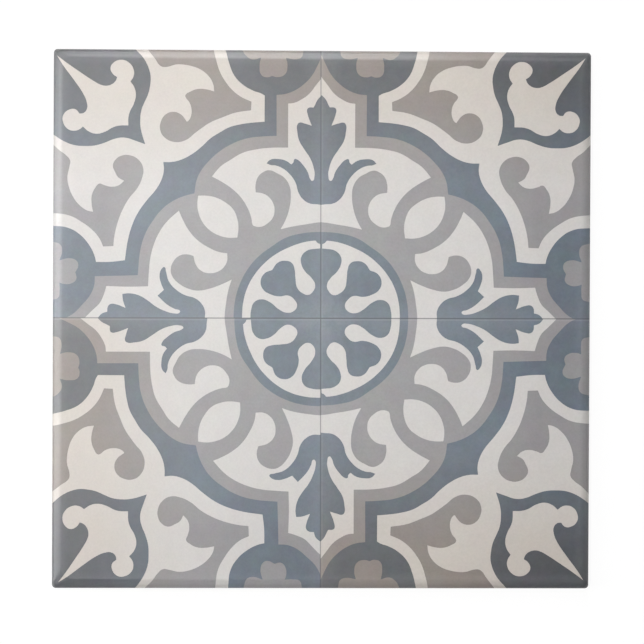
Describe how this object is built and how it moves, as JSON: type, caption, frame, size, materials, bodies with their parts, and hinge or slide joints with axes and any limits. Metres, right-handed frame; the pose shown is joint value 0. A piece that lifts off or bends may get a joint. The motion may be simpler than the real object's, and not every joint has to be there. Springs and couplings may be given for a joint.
{
  "type": "azulejo tile",
  "caption": "Square glazed wall tile with a cushioned edge, a keyed back and a traditional slate blue, warm grey and cream interlace print.",
  "frame": {"origin": "middle of the back, in the plane that the tile rests on", "axes": "+Z out of the glazed face; +X along one side, to the right of the print; +Y along the next side, towards the top of the print"},
  "size_m": [0.1524, 0.1524, 0.0064],
  "materials": {
    "glaze": "clear gloss glaze over a printed slip, cream with warm grey and slate blue"
  },
  "bodies": {
    "root": {"tile": "glaze"}
  },
  "joints": []
}
